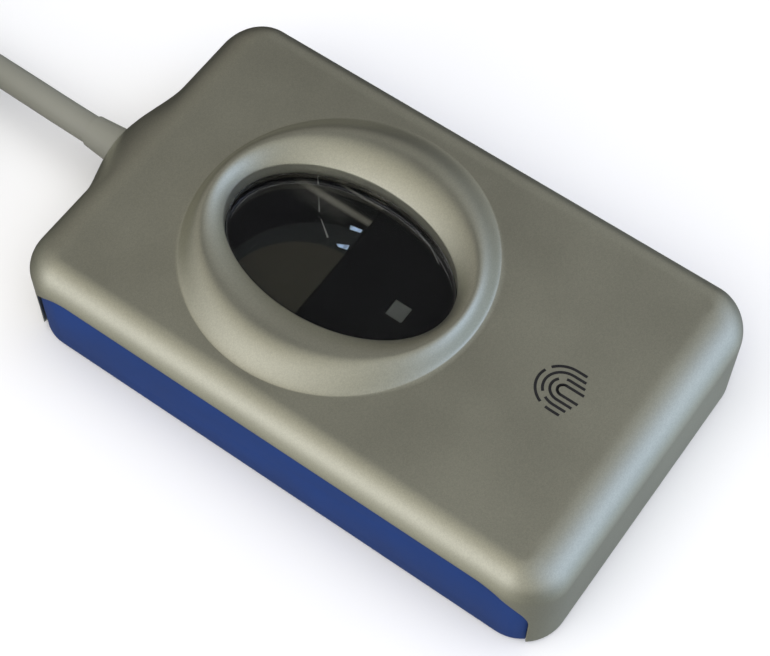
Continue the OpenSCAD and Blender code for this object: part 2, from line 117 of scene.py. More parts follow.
def smooth_route(points, step):
    """Centripetal curve through the points, resampled at an even step."""
    p = np.array(points, float)
    p = np.vstack([2 * p[0] - p[1], p, 2 * p[-1] - p[-2]])
    out = []
    for a, b, c, d in zip(p[:-3], p[1:-2], p[2:-1], p[3:]):
        t1 = np.linalg.norm(b - a) ** 0.5
        t2 = t1 + np.linalg.norm(c - b) ** 0.5
        t3 = t2 + np.linalg.norm(d - c) ** 0.5
        for t in np.linspace(t1, t2, 24, endpoint=False):
            a1 = (t1 - t) / t1 * a + t / t1 * b
            a2 = (t2 - t) / (t2 - t1) * b + (t - t1) / (t2 - t1) * c
            a3 = (t3 - t) / (t3 - t2) * c + (t - t2) / (t3 - t2) * d
            b1 = (t2 - t) / t2 * a1 + t / t2 * a2
            b2 = (t3 - t) / (t3 - t1) * a2 + (t - t1) / (t3 - t1) * a3
            out.append((t2 - t) / (t2 - t1) * b1 + (t - t1) / (t2 - t1) * b2)
    out.append(p[-2])
    out = np.array(out)
    run = np.concatenate([[0], np.cumsum(np.linalg.norm(np.diff(out, axis=0), axis=1))])
    n = max(2, int(round(run[-1] / step)))
    at = np.linspace(0, run[-1], n + 1)
    return np.stack([np.interp(at, run, out[:, k]) for k in range(3)], axis=1)


def ease(t):
    t = min(max(t, 0.0), 1.0)
    return t * t * (3 - 2 * t)


# ---- materials ----


def principled(name, **values):
    material = bpy.data.materials.new(name)
    material.use_nodes = True
    nodes = material.node_tree.nodes
    shader = next(n for n in nodes if n.type == "BSDF_PRINCIPLED")
    for key, value in values.items():
        shader.inputs[key.replace("_", " ")].default_value = value
    return material, shader


class Graph:
    """Small helper that adds and links nodes in a material."""

    def __init__(self, material):
        self.tree = material.node_tree
        self.coordinates = self.tree.nodes.new("ShaderNodeTexCoord").outputs["Object"]

    def node(self, kind, **inputs):
        made = self.tree.nodes.new(kind)
        for key, value in inputs.items():
            socket = made.inputs[key.replace("_", " ")]
            if isinstance(value, bpy.types.NodeSocket):
                self.tree.links.new(value, socket)
            else:
                socket.default_value = value
        return made

    def noise(self, size_mm, detail=3.0, rough=0.5, stretch=None):
        vector = self.coordinates
        if stretch:
            mapping = self.node("ShaderNodeMapping", Vector=vector, Scale=stretch)
            vector = mapping.outputs["Vector"]
        made = self.node("ShaderNodeTexNoise", Vector=vector, Scale=1000.0 / size_mm,
                         Detail=detail, Roughness=rough)
        return made.outputs["Fac"]

    def ramp(self, fac, low, high, start=0.35, end=0.65):
        made = self.node("ShaderNodeValToRGB", Fac=fac)
        made.color_ramp.elements[0].position = start
        made.color_ramp.elements[1].position = end
        made.color_ramp.elements[0].color = (*low, 1)
        made.color_ramp.elements[1].color = (*high, 1)
        return made.outputs["Color"]

    def span(self, fac, low, high):
        made = self.node("ShaderNodeMapRange", Value=fac)
        made.inputs["From Min"].default_value = 0.3
        made.inputs["From Max"].default_value = 0.7
        made.inputs["To Min"].default_value = low
        made.inputs["To Max"].default_value = high
        return made.outputs["Result"]

    def bump(self, height, strength, distance_mm, normal=None):
        made = self.node("ShaderNodeBump", Height=height, Strength=strength,
                         Distance=distance_mm * MM)
        if normal is not None:
            self.tree.links.new(normal, made.inputs["Normal"])
        return made.outputs["Normal"]

    def feed(self, shader, **sockets):
        for key, value in sockets.items():
            self.tree.links.new(value, shader.inputs[key.replace("_", " ")])


def shade(colour, factor):
    return tuple(min(1.0, c * factor) for c in colour)


def moulded(name, colour, rough=0.45, grain=0.35, depth=0.02, vary=0.1, stain=9.0, strength=0.35,
            spread=0.08, **values):
    """A plastic, rubber or painted finish: mottled colour, uneven gloss, fine moulded grain."""
    material, shader = principled(name, **values)
    g = Graph(material)
    broad, fine = g.noise(stain, 4), g.noise(grain, 2, 0.6)
    g.feed(shader, Base_Color=g.ramp(broad, shade(colour, 1 - vary), shade(colour, 1 + vary)),
           Roughness=g.span(broad, rough - spread, rough + spread),
           Normal=g.bump(fine, strength, depth))
    return material


def metal(name, colour, rough=0.3, stretch=(1, 1, 1), grain=0.2, depth=0.006, vary=0.08):
    """Bare metal with fine drawn or rolled lines."""
    material, shader = principled(name, Metallic=1.0)
    g = Graph(material)
    broad, lines = g.noise(5.0, 3), g.noise(grain, 4, 0.6, stretch)
    g.feed(shader, Base_Color=g.ramp(broad, shade(colour, 1 - vary), shade(colour, 1 + vary)),
           Roughness=g.span(lines, rough - 0.07, rough + 0.1), Normal=g.bump(lines, 0.3, depth))
    return material


def silver_paint():
    """Metallic lacquer: aluminium flakes of many tilts under a satin clear coat."""
    material, shader = principled("silver_paint", Metallic=0.92, Coat_Weight=0.12,
                                  Coat_Roughness=0.3)
    g = Graph(material)
    flake = g.node("ShaderNodeTexVoronoi", Vector=g.coordinates, Scale=1000.0 / 0.11)
    grey = g.node("ShaderNodeSeparateColor", Color=flake.outputs["Color"])
    broad = g.noise(14.0, 3)
    speck = g.ramp(grey.outputs["Red"], (0.455, 0.453, 0.36), (0.53, 0.528, 0.42), 0.0, 1.0)
    tone = g.ramp(broad, (0.93, 0.93, 0.93), (1.0, 1.0, 1.0))
    mix = g.tree.nodes.new("ShaderNodeMix")
    mix.data_type, mix.blend_type = "RGBA", "MULTIPLY"
    mix.inputs["Factor"].default_value = 1.0
    g.tree.links.new(speck, mix.inputs["A"])
    g.tree.links.new(tone, mix.inputs["B"])
    orange_peel = g.bump(g.noise(0.7, 2, 0.4), 0.05, 0.02)
    g.feed(shader, Base_Color=mix.outputs["Result"], Roughness=g.span(broad, 0.36, 0.42),
           Normal=g.bump(grey.outputs["Green"], 0.1, 0.02, orange_peel))
    return material


def clear(name, colour, ior=1.5, rough=0.02, dust=0.05):
    """Glass or clear resin with a trace of dust in its polish."""
    material, shader = principled(name, Transmission_Weight=1.0, IOR=ior, Base_Color=(*colour, 1))
    g = Graph(material)
    g.feed(shader, Roughness=g.span(g.noise(2.5, 5, 0.7), rough, rough + dust))
    return material


def board_green():
    """Solder mask over copper traces."""
    material, shader = principled("board_green", IOR=1.5)
    g = Graph(material)
    tracks = g.node("ShaderNodeTexVoronoi", Vector=g.coordinates, Scale=1000.0 / 1.6)
    tracks.distance = "MANHATTAN"
    fac = tracks.outputs["Distance"]
    g.feed(shader, Base_Color=g.ramp(fac, (0.008, 0.075, 0.03), (0.02, 0.14, 0.06), 0.4, 0.46),
           Roughness=g.span(g.noise(3.0, 3), 0.3, 0.42), Normal=g.bump(fac, 0.2, 0.03))
    return material


PAINT = silver_paint()
BLUE = moulded("blue_plastic", (0.005, 0.036, 0.175), 0.5, 0.25, 0.012, 0.08, 12.0, 0.25, 0.05,
                Specular_IOR_Level=0.2)
CORD = moulded("cord_pvc", (0.22, 0.22, 0.183), 0.5, 0.5, 0.02, 0.05, 15.0, 0.2)
GRIP = moulded("grip_pvc", (0.21, 0.21, 0.176), 0.55, 0.35, 0.03, 0.05, 9.0, 0.4)
GLASS = clear("clear_glass", (0.97, 0.99, 0.985))
MATERIALS = {
    "silver_paint": PAINT,
    "blue_plastic": BLUE,
    "cord_pvc": CORD,
    "grip_pvc": GRIP,
    "clear_glass": GLASS,
    "pad_rubber": moulded("pad_rubber", (0.02, 0.02, 0.021), 0.75, 0.5, 0.05, 0.2, 8.0, 0.5),
    "label_film": moulded("label_film", (0.55, 0.56, 0.56), 0.35, 0.6, 0.008, 0.04, 6.0, 0.2),
    "ballast_steel": metal("ballast_steel", (0.42, 0.42, 0.43), 0.4, (1, 14, 1)),
    "screw_steel": metal("screw_steel", (0.55, 0.54, 0.52), 0.3, (3, 3, 12)),
    "black_rubber": moulded("black_rubber", (0.008, 0.008, 0.009), 0.7, 0.4, 0.03, 0.2, 5.0,
                            Specular_IOR_Level=0.1),
    "black_plastic": moulded("black_plastic", (0.005, 0.005, 0.0055), 0.6, 0.3, 0.01, 0.2, 6.0,
                             Specular_IOR_Level=0.08),
    "pale_plastic": moulded("pale_plastic", (0.07, 0.073, 0.066), 0.55, 0.2, 0.01, 0.1, 1.2),
    "milky_plastic": moulded("milky_plastic", (0.5, 0.5, 0.47), 0.5, 0.3, 0.01, 0.05, 3.0,
                             Subsurface_Weight=0.3, Subsurface_Scale=0.002),
    "led_resin": moulded("led_resin", (0.6, 0.5, 0.36), 0.25, 0.2, 0.005, 0.1, 1.0),
    "chip_plastic": moulded("chip_plastic", (0.02, 0.02, 0.022), 0.55, 0.12, 0.01, 0.15, 3.0),
    "green_board": board_green(),
    "can_metal": metal("can_metal", (0.6, 0.6, 0.6), 0.25),
    "ceramic": moulded("ceramic", (0.35, 0.24, 0.14), 0.4, 0.15, 0.01, 0.12, 1.0),
    "ivory_plastic": moulded("ivory_plastic", (0.66, 0.62, 0.5), 0.4, 0.3, 0.01, 0.05, 4.0),
    "wire_plastic": moulded("wire_plastic", (0.3, 0.02, 0.015), 0.4, 0.3, 0.01, 0.15, 2.0),
    "tie_fabric": moulded("tie_fabric", (0.018, 0.018, 0.02), 0.85, 0.3, 0.12, 0.3, 1.5, 0.8,
                          Sheen_Weight=0.3),
    "plug_steel": metal("plug_steel", (0.62, 0.62, 0.63), 0.22, (1, 10, 1)),
    "tongue_plastic": moulded("tongue_plastic", (0.6, 0.6, 0.57), 0.4, 0.3, 0.01, 0.04, 4.0),
    "contact_brass": metal("contact_brass", (0.75, 0.52, 0.2), 0.25, (1, 8, 1)),
}


# ---- cord: run, three layers of the coil, tail ----

TURN_STEP = 8.0
FIRST_LAYER, NEXT_LAYER = 1080.0, 1440.0  # degrees wound in a layer


def around(radius, angle, height):
    a = math.radians(angle)
    return (COIL[0] + radius * math.cos(a), COIL[1] + radius * math.sin(a), height)


def step(angle, start, width=50.0):
    """0 before the start angle and 1 after the width, with a smooth rise between."""
    return ease((angle - start) / width)


def coil_line():
    """Turns laid side by side and in three layers, wound counter-clockwise from the run."""
    second, third = FIRST_LAYER, FIRST_LAYER + NEXT_LAYER
    last = third + NEXT_LAYER
    points = []
    for angle in np.arange(TURN_STEP, last + 248 + 2 * TURN_STEP, TURN_STEP):
        radius, height = COIL_R, CORD_R
        for k in range(3):
            radius -= PITCH * step(angle, 310 + 360 * k)
        height += PITCH * step(angle, second + 250)
        for k in range(1, 4):
            radius += PITCH * step(angle, second + 360 * k + 190)
        height += PITCH * step(angle, third + 130)
        for k in range(1, 4):
            radius -= PITCH * step(angle, third + 360 * k + 70)
        # the last turn climbs past the plug and widens towards the tail
        height += PITCH * step(angle, last + 56)
        radius += 10 * step(angle, last + 100, 150)
        # room for the strap under the turns
        strap = 1 - min(1.0, abs((angle % 360) - TIE_ANGLE) / 24)
        height += TIE_LIFT * ease(strap * 1.6)
        points.append(around(radius, angle, height))
        if angle > last + 248:
            break
    return points


cord_points = np.vstack([
    smooth_route(ROUTE, 2.0)[:-1],
    smooth_route(ROUTE[-1:] + coil_line() + TAIL, 2.0),
])
cord_curve = bpy.data.curves.new("cord", "CURVE")
cord_curve.dimensions = "3D"
cord_curve.bevel_depth = (CORD_R - 0.02) * MM
cord_curve.bevel_resolution = 6
cord_curve.use_fill_caps = True
spline = cord_curve.splines.new("POLY")
spline.points.add(len(cord_points) - 1)
for point, place in zip(spline.points, cord_points):
    point.co = (*(place * MM), 1)
spline.use_smooth = True
cord = link("cord", cord_curve, CORD)
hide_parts("cord_run", "cord_coil", "cord_tail")
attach(cord, "root")
cord_length = float(np.linalg.norm(np.diff(cord_points, axis=0), axis=1).sum()) * MM
print("cord length", round(cord_length, 4))


# ---- top shell ----

WINDOW_ROWS = (TOP - WALL, 14.9, 15.6, 16.4, 16.8)
RING_STEPS = list(1 - np.concatenate([[0.004, 0.012], np.linspace(0.03, 0.9, 30),
                                      [0.925, 0.95, 0.97, 0.985, 0.995, 1.0]]))
FLAT_ROWS = (0.03, 0.5, 0.97)
ROWS = 36
SKIN_STOP, SKIN_EDGE = 0.3, 0.1  # distances of the outer skin's last two rows from the lower edge
EDGE_SOFT = 0.25  # turn of the lower edge where an arch's end meets it
BOSS_W, BOSS_H, BOSS_RISE, BOSS_FLARE = 12.5, 8.4, 3.3, 1.9
EXIT_R = 2.6


def outline(s):
    """Middle of the rounding and outward normal at arc length s, in the quarter with x and y above 0."""
    straight = HALF_L - CORNER
    arc = CORNER * math.pi / 2
    if s <= straight:
        return (HALF_W - CORNER, s), (1.0, 0.0)
    if s <= straight + arc:
        a = (s - straight) / CORNER
        return (HALF_W - CORNER, straight), (math.cos(a), math.sin(a))
    return (HALF_W - CORNER - (s - straight - arc), straight), (0.0, 1.0)


def s_of_y(y, radius=CORNER):
    straight = HALF_L - CORNER
    return y if y <= straight else straight + CORNER * math.asin((y - straight) / radius)


def rounding(s):
    """Width and height of the top edge's rounding: longer at the two ends than at the sides."""
    ny = outline(s)[1][1]
    return 4.0 + 1.5 * ny * ny, 4.0 + 0.8 * ny * ny


def outer(s, w, sink=0.0):
    """Outer surface: w 0 to 1 over the rounding, 1 to 2 down the wall."""
    (qx, qy), (nx, ny) = outline(s)
    wide, high = rounding(s)
    if w <= 1:
        a = w * math.pi / 2
        inset, z = wide * (1 - math.sin(a)), TOP - high * (1 - math.cos(a))
    else:
        inset, z = 0.0, TOP - high - (w - 1) * (TOP - high - FLOOR_GAP)
    r = CORNER - inset - sink
    return np.array([qx + nx * r, qy + ny * r, z])


def w_of_z(s, z):
    high = rounding(s)[1]
    if z > TOP - high:
        return math.acos(1 - (TOP - z) / high) / (math.pi / 2)
    return 1 + (TOP - high - z) / (TOP - high - FLOOR_GAP)


def inner(s, z):
    """Inner surface at a height, with its own small rounding under the roof."""
    (qx, qy), (nx, ny) = outline(s)
    roof, r = TOP - WALL, 2.0
    inset = WALL
    if z > roof - r:
        inset += r * (1 - math.sqrt(max(0.0, 1 - ((z - roof + r) / r) ** 2)))
    return np.array([qx + nx * (CORNER - inset), qy + ny * (CORNER - inset), z])


def edge_curve():
    """Lower edge of a quarter of the shell: along the arch, down its end, along the desk.

    Each row holds the arc length, the height and how far the cut is straight along X."""
    s_corner = s_of_y(ARCH_END)
    quarter = HALF_L - CORNER + CORNER * math.pi / 2 + HALF_W - CORNER
    flat = ARCH_END - ARCH_R
    rows = []
    for y in np.linspace(0, flat, 44, endpoint=False):
        rows.append((s_of_y(y), ARCH_TOP, 1.0))
    for b in np.linspace(0, math.pi / 2, 18, endpoint=False):
        y, z = flat + ARCH_R * math.sin(b), ARCH_TOP - ARCH_R * (1 - math.cos(b))
        rows.append((s_of_y(y), z, 1.0))
    for z in np.linspace(ARCH_TOP - ARCH_R, FLOOR_GAP + EDGE_SOFT, 12):
        rows.append((s_corner, z, 1.0))
    rows.append((s_corner + 0.07, FLOOR_GAP + 0.07, 0.8))
    span, count = quarter - s_corner - EDGE_SOFT, 48
    for k in range(count):
        s = s_corner + EDGE_SOFT + span * (k / (count - 1))
        rows.append((s, FLOOR_GAP, max(0.0, 1 - (s - s_corner) / 2.0) * 0.7))
    return rows


def quarter_columns(ring_y):
    """Columns of points of one quarter, from the window's lower edge over the top and back inside."""
    edge = edge_curve()
    s_edge = np.array([e[0] for e in edge])
    z_edge = np.array([e[1] for e in edge])
    run = np.concatenate([[0], np.cumsum(np.hypot(np.diff(s_edge), np.diff(z_edge)))])
    first = int(np.argmax(s_edge >= ARCH_END - ARCH_R - 1e-9))
    last = int(np.argmax(s_edge >= s_of_y(ARCH_END) + 3.0))
    s_top = s_edge.copy()
    share = (run[first:last] - run[first]) / (run[last] - run[first])
    s_top[first:last] = s_edge[first] + share * (s_edge[last] - s_edge[first])
    # direction from the edge into the shell's skin, in the plane of s and z
    ds, dz = np.gradient(s_edge), np.gradient(z_edge)
    size = np.hypot(ds, dz)
    into = np.stack([-dz / size, ds / size], axis=1)
    columns = []
    for k, (s_e, z_e, straight_cut) in enumerate(edge):
        column = []
        y_e = outer(s_e, 2)[1]

        def sunk(sink):
            """The cut runs straight in along X at the arch, and square to the skin elsewhere."""
            (qx, qy), (nx, ny) = outline(s_e)
            plain = np.array([qx + nx * (CORNER - sink), qy + ny * (CORNER - sink)])
            if straight_cut > 0 and y_e > HALF_L - CORNER:
                r = CORNER - sink
                dy = min(y_e - (HALF_L - CORNER), 0.999 * r)
                cut = np.array([HALF_W - CORNER + math.sqrt(r * r - dy * dy), y_e])
                return plain + (cut - plain) * straight_cut
            return plain

        edge_top = outer(s_e, w_of_z(s_e, z_e))
        lip = edge_top[:2] - outer(s_e, 2)[:2]
        # window wall, rim and ring
        place = outer(s_top[k], 0.0)
        angle = math.atan2(place[1] - ring_y, place[0])
        ca, sa = math.cos(angle), math.sin(angle)
        for z in WINDOW_ROWS:
            column.append((OVAL_X * ca, ring_y + OVAL_Y * sa, z))
        for t in RING_STEPS:
            rx = (1 - t) * RING_R + t * OVAL_X
            ry = (1 - t) * RING_R + t * OVAL_Y
            column.append((rx * ca, ring_y + ry * sa, TOP + swell(t)))
        start = np.array([RING_R * ca, ring_y + RING_R * sa, TOP])
        for f in FLAT_ROWS:
            column.append(tuple(start + (place - start) * f))
        # rounding and wall
        off = np.array([s_e, z_e]) + SKIN_STOP * into[k]
        off[1] = max(off[1], z_e)
        s_stop, w_stop = off[0], w_of_z(off[0], off[1])
        lean = 1 + max(0.0, min(1.0, w_stop - 0.95))
        for j in range(ROWS + 1):
            f = j / ROWS
            s = s_top[k] + (s_stop - s_top[k]) * f ** lean
            column.append(tuple(outer(s, w_stop * f)))
        near = np.array([s_e, z_e]) + SKIN_EDGE * into[k]
        column.append(tuple(outer(near[0], w_of_z(near[0], max(near[1], FLOOR_GAP)))))
        column.append((*(sunk(0.04) + lip), z_e + 0.02 * into[k][1]))
        for sink in (0.15, 1.0, WALL - 0.12):
            column.append((*(sunk(sink) + lip * (1 - sink / WALL)), z_e))
        # inner surface
        for f in np.linspace(0, 1, 8):
            z = z_e + (TOP - WALL - z_e) * f
            point = inner(s_e + (s_top[k] - s_e) * f, z)
            if f == 0:
                under_roof = inner(s_e, z) - np.array([*outer(s_e, 2, WALL)[:2], z])
                point = np.array([*sunk(WALL), z]) + under_roof
            column.append(tuple(point))
        end = np.array(column[-1])
        begin = np.array([(RING_R - 1) * ca, ring_y + (RING_R - 1) * sa, TOP - WALL])
        column.append(tuple(end + (begin - end) * 0.6))
        column.append(tuple(begin))
        columns.append(column)
    return np.array(columns)


def swell(t):
    """Height of the ring over the flat top, from its outer foot (0) to the window (1)."""
    if t < CREST:
        return RING_H * math.sin(math.pi / 2 * t / CREST) ** 1.3
    return RIM_H + (RING_H - RIM_H) * max(
        0.0, math.cos(math.pi / 2 * (t - CREST) / (1 - CREST))) ** 0.9


def boss(points):
    """Swells the back wall round the cord's exit."""
    q2 = (points[:, 0] / BOSS_W) ** 2 + ((points[:, 2] - CORD_Z) / BOSS_H) ** 2
    rise = BOSS_RISE * np.clip(1 - q2, 0, 1) ** BOSS_FLARE
    return np.where((points[:, 1] > HALF_L - CORNER) & (q2 < 1), rise, 0.0)


def build_shell():
    quarter = quarter_columns(RING_Y)
    n_rows = quarter.shape[1]
    outer_rows = len(WINDOW_ROWS) + len(RING_STEPS) + len(FLAT_ROWS) + ROWS + 1 + 1
    back = np.concatenate([quarter, (quarter[::-1] * [-1, 1, 1])[1:]])
    # the front quarter is built with the ring on the other side, then turned over in Y
    front = quarter_columns(-RING_Y) * [1, -1, 1]
    columns = np.concatenate([back[:-1], (front * [-1, 1, 1])[:-1], front[::-1][:-1]])
    count = len(columns)
    points = columns.reshape(-1, 3)
    flags = np.tile(np.arange(n_rows) < outer_rows, count)
    points[:, 1] += np.where(flags, boss(points), 0.0)
    faces = []
    for i in range(count):
        a, b = i * n_rows, ((i + 1) % count) * n_rows
        for j in range(n_rows):
            k = (j + 1) % n_rows
            faces.append((a + j, a + k, b + k, b + j))
    return mesh_of("top_shell_skin", points, faces)


def cylinder_mesh(name, radius, y0, y1, sides=64):
    points, faces = [], []
    for y in (y0, y1):
        for k in range(sides):
            a = 2 * math.pi * k / sides
            points.append((radius * math.cos(a), y, CORD_Z + radius * math.sin(a)))
    faces += [(k, (k + 1) % sides, sides + (k + 1) % sides, sides + k) for k in range(sides)]
    faces += [tuple(range(sides))[::-1], tuple(range(sides, 2 * sides))]
    return mesh_of(name, points, faces, smooth=False)


def fix_normals(mesh):
    work = bmesh.new()
    work.from_mesh(mesh)
    bmesh.ops.recalc_face_normals(work, faces=work.faces)
    work.to_mesh(mesh)
    work.free()


shell = link("top_shell_skin", build_shell(), PAINT)
fix_normals(shell.data)
drill = link("drill", cylinder_mesh("drill", EXIT_R, 35.0, 45.0))
fix_normals(drill.data)
cut = shell.modifiers.new("cut", "BOOLEAN")
cut.operation, cut.object, cut.solver = "DIFFERENCE", drill, "EXACT"
apply_modifiers(shell)
bpy.data.objects.remove(drill)
shell.data.shade_smooth()
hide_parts("top_shell")
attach(shell, "root")

# ---- screw posts inside the shell ----

POST_X, POST_Y, POST_R, POST_HOLE = 17.5, 31.0, 2.6, 1.15
POST_FOOT = 6.85


def tube(x, y, z0, z1, r_out, r_in, sides=40):
    points, faces = [], []
    for r, z in ((r_out, z0), (r_out, z1), (r_in, z1), (r_in, z0)):
        for k in range(sides):
            a = 2 * math.pi * k / sides
            points.append((x + r * math.cos(a), y + r * math.sin(a), z))
    for j in range(4):
        for k in range(sides):
            a, b, up = j * sides, (j + 1) % 4 * sides, (k + 1) % sides
            faces.append((a + k, a + up, b + up, b + k))
    return points, faces


def join(*parts):
    points, faces = [], []
    for some, sides in parts:
        base = len(points)
        points += some
        faces += [tuple(base + k for k in face) for face in sides]
    return points, faces


def solid(name, shape, material):
    """A closed piece with flat shading and outward faces."""
    mesh = mesh_of(name, *shape, smooth=False)
    fix_normals(mesh)
    return link(name, mesh, material)


posts = solid("shell_posts", join(*[
    tube(sx * POST_X, sy * POST_Y, POST_FOOT, TOP - WALL - 0.01, POST_R, POST_HOLE)
    for sx in (-1, 1) for sy in (-1, 1)]), PAINT)
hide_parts("top_shell")
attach(posts, "root")

# ---- glass block: upper disc, flange and the prism under it ----

SIDES = 168
GAP, FLANGE, DECK = 0.15, 1.4, 13.3
PRISM_START, PRISM_END = 7.0, RING_Y + OVAL_Y - 2.9
PRISM_LOW, PRISM_HIGH, PRISM_TOP = 7.9, 11.0, DECK - 0.12


def ovals(rows, y_cut=None):
    """Stack of ovals (growth, height), closed at both ends; y_cut flattens the part before it."""
    points, faces = [], []
    for grow, z in rows:
        for k in range(SIDES):
            a = 2 * math.pi * k / SIDES
            x, y = (OVAL_X + grow) * math.cos(a), RING_Y + (OVAL_Y + grow) * math.sin(a)
            if y_cut is not None and y < y_cut:
                edge = (y_cut - RING_Y) / (OVAL_Y + grow)
                x = math.copysign(min(abs(x), (OVAL_X + grow) * math.sqrt(1 - edge ** 2)), x)
                y = y_cut
            points.append((x, y, z))
    for r in range(len(rows) - 1):
        for k in range(SIDES):
            a, b = r * SIDES + k, r * SIDES + (k + 1) % SIDES
            faces.append((a, b, b + SIDES, a + SIDES))
    faces.append(tuple(range(SIDES))[::-1])
    faces.append(tuple(range((len(rows) - 1) * SIDES, len(rows) * SIDES)))
    return points, faces


def prism():
    """Lower part of the block: back half, with the sloped face towards the lamps."""
    length, level = PRISM_END - PRISM_START, 3
    points, faces, n = [], [], 48
    for k in range(n + 1):
        y = PRISM_START + length * k / n
        x = (OVAL_X - GAP) * math.sqrt(max(0.0, 1 - ((y - RING_Y) / (OVAL_Y - GAP)) ** 2))
        slope = max(0.0, (y - PRISM_START - level) / (length - level))
        low = PRISM_LOW + (PRISM_HIGH - PRISM_LOW) * slope
        points += [(-x, y, low), (x, y, low), (x, y, PRISM_TOP), (-x, y, PRISM_TOP)]
    for k in range(n):
        a, b = 4 * k, 4 * k + 4
        faces += [(a + j, a + (j + 1) % 4, b + (j + 1) % 4, b + j) for j in range(4)]
    faces += [(3, 2, 1, 0), (4 * n, 4 * n + 1, 4 * n + 2, 4 * n + 3)]
    return points, faces


glass_rows = [(FLANGE - 0.1, DECK + 0.02), (FLANGE, DECK + 0.1), (FLANGE, 13.9), (FLANGE - 0.1, 13.98),
              (-GAP + 0.02, 13.99), (-GAP, 14.02), (-GAP, 15.2), (-GAP - 0.02, 15.33),
              (-GAP - 0.09, 15.44), (-GAP - 0.2, 15.495), (-GAP - 0.32, 15.5)]
glass = solid("glass", join(ovals(glass_rows), prism()), GLASS)
# only the large flats keep their flat shading
LARGE = 3e-6
for polygon in glass.data.polygons:
    polygon.use_smooth = polygon.area < LARGE
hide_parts("glass_block")
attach(glass, "root")


# ---- dark layer at the prism's top: painted shade for its dark depth, with painted reflections of the faint shapes that show there ----


def prism_shade_and_reflections():
    """Black coat in the prism, also painted shade for its dark depth, with painted reflections: a
    brown-grey disc with a second edge, and a blurred light bar.
    """
    material, shader = principled("prism_shade_and_reflections", Roughness=0.5, Specular_IOR_Level=0.08)
    g = Graph(material)
    split = g.tree.nodes.new("ShaderNodeSeparateXYZ")
    g.tree.links.new(g.coordinates, split.inputs[0])

    def calc(operation, *values):
        made = g.tree.nodes.new("ShaderNodeMath")
        made.operation = operation
        for socket, value in zip(made.inputs, values):
            if isinstance(value, bpy.types.NodeSocket):
                g.tree.links.new(value, socket)
            else:
                socket.default_value = value
        return made.outputs[0]

    x = calc("MULTIPLY", split.outputs["X"], 1000.0)
    y = calc("MULTIPLY", split.outputs["Y"], 1000.0)

    def falloff(value, full, none):
        made = g.node("ShaderNodeMapRange", Value=value)
        made.interpolation_type = "SMOOTHSTEP"
        made.inputs["From Min"].default_value = none
        made.inputs["From Max"].default_value = full
        return made.outputs["Result"]

    def disc(cx, cy, radius, soft):
        dx, dy = calc("SUBTRACT", x, cx), calc("SUBTRACT", y, cy)
        away = calc("SQRT", calc("ADD", calc("MULTIPLY", dx, dx), calc("MULTIPLY", dy, dy)))
        return falloff(away, radius - soft, radius + soft)

    def strip(value, middle, half, soft):
        return falloff(calc("ABSOLUTE", calc("SUBTRACT", value, middle)), half, half + soft)

    # streaky noise that breaks up the painted reflection of the wisp
    reflection_streaks = g.noise(3.5, 4, 0.6)
    bar = calc("MULTIPLY", strip(x, 6.7, 0.12, 0.6), strip(y, 10.0, 4.5, 4.5))
    wisp = calc("MULTIPLY", strip(x, 6.2, 0.1, 2.4), strip(y, 14.0, 2.0, 3.5))
    bands = calc("MULTIPLY", strip(calc("ABSOLUTE", calc("SUBTRACT", x, 9.75)), 0.42, 0.06, 0.18),
                 strip(y, 10.5, 3.2, 1.2))
    # painted reflections (the disc, its second edge, the light bar, the wisp and the bands) over
    # near-black painted shade
    layers = [
        (disc(-9.1, 6.8, 10.3, 0.12), (0.018, 0.0145, 0.0075)),
        (disc(-7.9, 5.6, 12.85, 0.15), (0.012, 0.013, 0.0125)),
        (bar, (0.12, 0.112, 0.092)),
        (calc("MULTIPLY", wisp, reflection_streaks), (0.06, 0.058, 0.05)),
        (bands, (0.09, 0.085, 0.072)),
    ]
    total = None
    for fac, colour in layers:
        made = g.tree.nodes.new("ShaderNodeVectorMath")
        made.operation = "MULTIPLY_ADD"
        g.tree.links.new(fac, made.inputs[0])
        made.inputs[1].default_value = colour
        if total is None:
            made.inputs[2].default_value = (0.003, 0.003, 0.003)
        else:
            g.tree.links.new(total, made.inputs[2])
        total = made.outputs[0]
    g.tree.links.new(total, shader.inputs["Base Color"])
    return material


MASK_EDGE = 6.8
deck_rows = [(-0.2, DECK - 0.1), (-0.15, DECK - 0.08), (-0.15, DECK - 0.02), (-0.2, DECK)]
# black sheet at the prism's top: painted shade over the parts below it, carrying the painted reflections
shade_coat = solid("prism_coat_painted_shade", ovals(deck_rows, MASK_EDGE + 0.03), prism_shade_and_reflections())
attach(shade_coat, "root")


def slab_of(corners, z, thick):
    """Thin plate with the given outline."""
    n = len(corners)
    points = [(x, y, z) for x, y in corners] + [(x, y, z + thick) for x, y in corners]
    faces = [tuple(range(n))[::-1], tuple(range(n, 2 * n))]
    faces += [(k, (k + 1) % n, n + (k + 1) % n, n + k) for k in range(n)]
    return points, faces


def ribbon(a, b, wide):
    """Corners of a stroke from a to b that narrows towards a."""
    (ax, ay), (bx, by) = a, b
    dx, dy = bx - ax, by - ay
    size = math.hypot(dx, dy)
    nx, ny = -dy / size * wide / 2, dx / size * wide / 2
    return [(ax - nx * 0.3, ay - ny * 0.3), (bx - nx, by - ny), (bx + nx, by + ny),
            (ax + nx * 0.3, ay + ny * 0.3)]


# painted highlights: thin light strokes along the prism's edges, as grey plates over the black coat
EDGE_HIGHLIGHTS = [
    ribbon((8.9, 16.7), (7.7, 15.7), 0.12), ribbon((6.15, 14.45), (4.4, 13.1), 0.13),
    ribbon((3.7, 12.3), (2.0, 10.0), 0.22), ribbon((9.3, 1.8), (8.4, -1.1), 0.12),
    ribbon((8.4, -1.15), (6.9, -3.4), 0.1),
]
